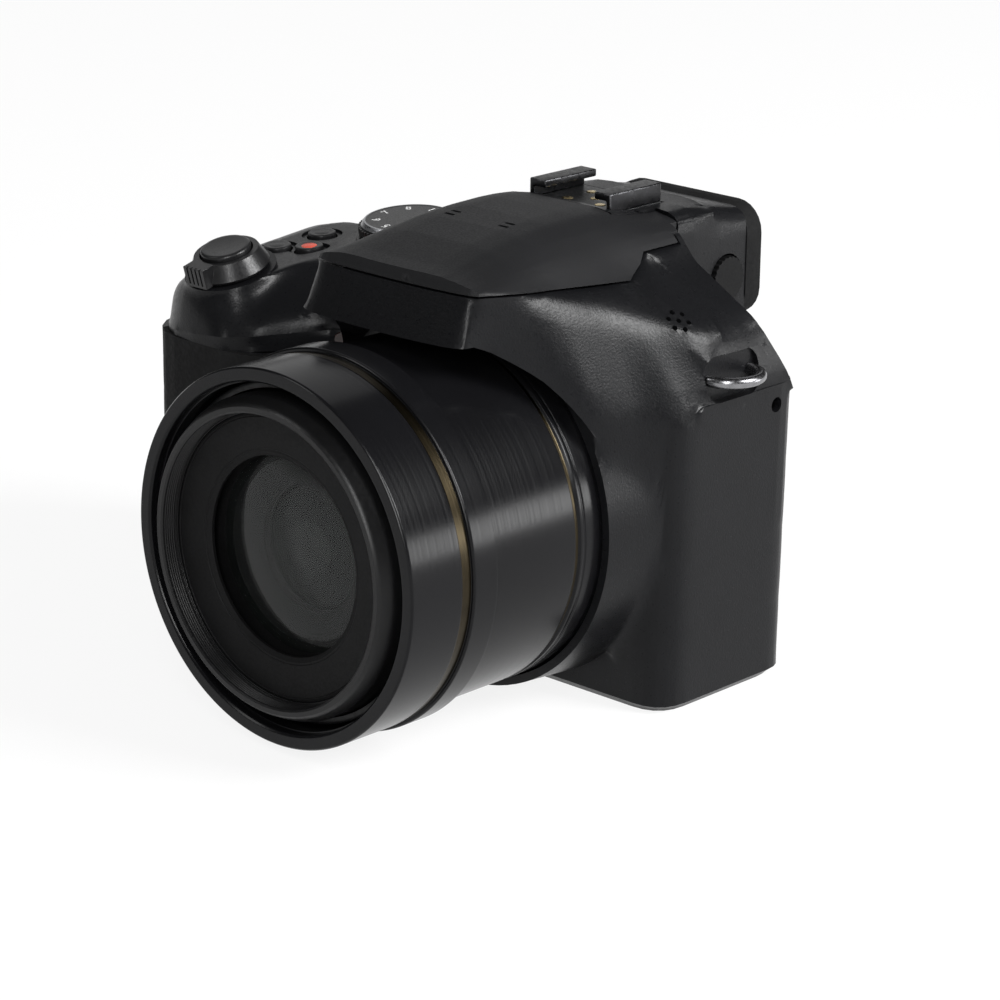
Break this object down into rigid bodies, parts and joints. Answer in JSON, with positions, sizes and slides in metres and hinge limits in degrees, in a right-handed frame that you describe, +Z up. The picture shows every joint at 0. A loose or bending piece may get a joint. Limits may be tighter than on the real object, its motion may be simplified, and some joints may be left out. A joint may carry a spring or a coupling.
{
  "type": "bridge camera",
  "caption": "Bridge camera with a telescoping zoom lens, pop-up flash, accessory shoe, electronic viewfinder, rear screen and deep rubber grip.",
  "frame": {"origin": "centre of the tripod socket's mouth, on the plane of the base", "axes": "+X is the camera's own left, the lens looks along -Y, +Z is up"},
  "size_m": [0.1414, 0.1192, 0.0943],
  "materials": {
    "shell": "fine-grained black moulding",
    "lid": "smooth matt black moulding",
    "rubber": "fine leather grain",
    "barrel": "black anodised, turned",
    "tube": "satin black",
    "steel": "bright",
    "shoe_metal": "darkened steel, worn bright at its edges",
    "contact": "plated",
    "glass": "coated",
    "clear": "ribbed",
    "screen": "polished",
    "button": "satin",
    "dial": "black anodised, knurled",
    "red": "satin",
    "lamp": "tinted",
    "board": "printed board",
    "inner": "plain"
  },
  "bodies": {
    "body": {"front_cover": "shell", "top_cover": "shell", "rear_cover": "shell", "base_plate": "shell", "grip_rubber": "rubber", "thumb_rest": "rubber", "case_screws": "steel", "tripod_bush": "steel", "strap_lugs": "steel", "af_lamp_window": "lamp", "speaker": "inner", "lens_barrel": "barrel", "lens_front_ring": "barrel", "lens_base": "tube", "image_sensor": "board", "flash_hinge_pins": "steel", "shoe_plate": "shoe_metal", "shoe_rails": "shoe_metal", "shoe_contacts": "contact", "eyecup": "rubber", "eyepiece_glass": "glass", "finder_display": "screen", "lcd_glass": "screen", "lcd_panel": "screen", "battery": "inner", "battery_chamber": "inner", "battery_hinge_pin": "steel", "main_board": "board"},
    "lens_stage_1": {"lens_stage_1": "tube"},
    "lens_stage_2": {"lens_stage_2": "tube", "name_ring": "tube", "front_glass": "glass", "lens_baffle": "tube", "second_glass": "glass"},
    "zoom_ring": {"zoom_ring": "dial"},
    "shutter_button": {"shutter_button": "dial"},
    "movie_button": {"movie_button": "red"},
    "burst_button": {"burst_button": "button"},
    "function_button": {"function_button": "button"},
    "mode_dial": {"mode_dial": "dial"},
    "power_switch": {"power_switch": "dial"},
    "flash_lid": {"flash_lid": "lid", "flash_window": "clear"},
    "flash_button": {"flash_button": "button"},
    "diopter_dial": {"diopter_dial": "dial"},
    "rear_dial": {"rear_dial": "dial"},
    "finder_button": {"finder_button": "button"},
    "playback_button": {"playback_button": "button"},
    "display_button": {"display_button": "button"},
    "menu_button": {"menu_button": "button"},
    "up_key": {"up_key": "button"},
    "right_key": {"right_key": "button"},
    "down_key": {"down_key": "button"},
    "left_key": {"left_key": "button"},
    "set_button": {"set_button": "button"},
    "battery_door": {"battery_door": "shell"},
    "battery_latch": {"battery_latch": "button"},
    "terminal_door": {"terminal_door": "shell"}
  },
  "joints": [
    {"name": "lens_extend_1", "type": "slide", "parent": "body", "child": "lens_stage_1", "axis": [0, -1, 0], "range_m": [0, 0.026]},
    {"name": "lens_extend_2", "type": "slide", "parent": "lens_stage_1", "child": "lens_stage_2", "axis": [0, -1, 0], "range_m": [0, 0.024]},
    {"name": "zoom_turn", "type": "hinge", "parent": "body", "child": "zoom_ring", "pos_m": [-0.0715, -0.0245, 0.0688], "axis": [0, -0.2756, 0.9613], "range_deg": [-25, 25], "stiffness_Nm_per_rad": 0.03},
    {"name": "shutter_press", "type": "slide", "parent": "body", "child": "shutter_button", "axis": [0, 0.2756, -0.9613], "range_m": [0, 0.001], "stiffness_N_per_m": 1000},
    {"name": "movie_press", "type": "slide", "parent": "body", "child": "movie_button", "axis": [0, 0.0872, -0.9962], "range_m": [0, 0.0005], "stiffness_N_per_m": 1500},
    {"name": "burst_press", "type": "slide", "parent": "body", "child": "burst_button", "axis": [0, 0.0872, -0.9962], "range_m": [0, 0.0005], "stiffness_N_per_m": 1500},
    {"name": "function_press", "type": "slide", "parent": "body", "child": "function_button", "axis": [0, 0.0872, -0.9962], "range_m": [0, 0.0005], "stiffness_N_per_m": 1500},
    {"name": "mode_turn", "type": "hinge", "parent": "body", "child": "mode_dial", "pos_m": [-0.052, 0.0075, 0.0727], "axis": [0, -0.0872, 0.9962], "continuous": true},
    {"name": "power_turn", "type": "hinge", "parent": "body", "child": "power_switch", "pos_m": [-0.052, 0.0075, 0.0727], "axis": [0, -0.0872, 0.9962], "range_deg": [0, 35]},
    {"name": "flash_raise", "type": "hinge", "parent": "body", "child": "flash_lid", "pos_m": [0, 0.0058, 0.088], "axis": [-1, 0, 0], "range_deg": [0, 55]},
    {"name": "flash_press", "type": "slide", "parent": "body", "child": "flash_button", "axis": [0.9063, 0, -0.4226], "range_m": [0, 0.0006], "stiffness_N_per_m": 1500},
    {"name": "dioptre_turn", "type": "hinge", "parent": "body", "child": "diopter_dial", "pos_m": [0.0171, 0.0245, 0.0745], "axis": [1, 0, 0], "range_deg": [-120, 120]},
    {"name": "rear_dial_turn", "type": "hinge", "parent": "body", "child": "rear_dial", "pos_m": [-0.0762, 0.015, 0.062], "axis": [0, 0, 1], "continuous": true},
    {"name": "finder_press", "type": "slide", "parent": "body", "child": "finder_button", "axis": [0, -1, 0], "range_m": [0, 0.0005], "stiffness_N_per_m": 1500},
    {"name": "playback_press", "type": "slide", "parent": "body", "child": "playback_button", "axis": [0, -1, 0], "range_m": [0, 0.0005], "stiffness_N_per_m": 1500},
    {"name": "display_press", "type": "slide", "parent": "body", "child": "display_button", "axis": [0, -1, 0], "range_m": [0, 0.0005], "stiffness_N_per_m": 1500},
    {"name": "menu_press", "type": "slide", "parent": "body", "child": "menu_button", "axis": [0, -1, 0], "range_m": [0, 0.0005], "stiffness_N_per_m": 1500},
    {"name": "up_press", "type": "slide", "parent": "body", "child": "up_key", "axis": [0, -1, 0], "range_m": [0, 0.0005], "stiffness_N_per_m": 1500},
    {"name": "right_press", "type": "slide", "parent": "body", "child": "right_key", "axis": [0, -1, 0], "range_m": [0, 0.0005], "stiffness_N_per_m": 1500},
    {"name": "down_press", "type": "slide", "parent": "body", "child": "down_key", "axis": [0, -1, 0], "range_m": [0, 0.0005], "stiffness_N_per_m": 1500},
    {"name": "left_press", "type": "slide", "parent": "body", "child": "left_key", "axis": [0, -1, 0], "range_m": [0, 0.0005], "stiffness_N_per_m": 1500},
    {"name": "set_press", "type": "slide", "parent": "body", "child": "set_button", "axis": [0, -1, 0], "range_m": [0, 0.0005], "stiffness_N_per_m": 1500},
    {"name": "battery_door_turn", "type": "hinge", "parent": "body", "child": "battery_door", "pos_m": [-0.0695, 0.0082, 0.0012], "axis": [1, 0, 0], "range_deg": [0, 95]},
    {"name": "battery_latch_slide", "type": "slide", "parent": "battery_door", "child": "battery_latch", "axis": [0, 1, 0], "range_m": [0, 0.002]},
    {"name": "terminal_door_turn", "type": "hinge", "parent": "body", "child": "terminal_door", "pos_m": [-0.0897, -0.009, 0.028], "axis": [0, 0, 1], "range_deg": [0, 100]}
  ],
  "couplings": [
    {"joint": "lens_extend_2", "follows": "lens_extend_1", "ratio": 0.92308}
  ]
}
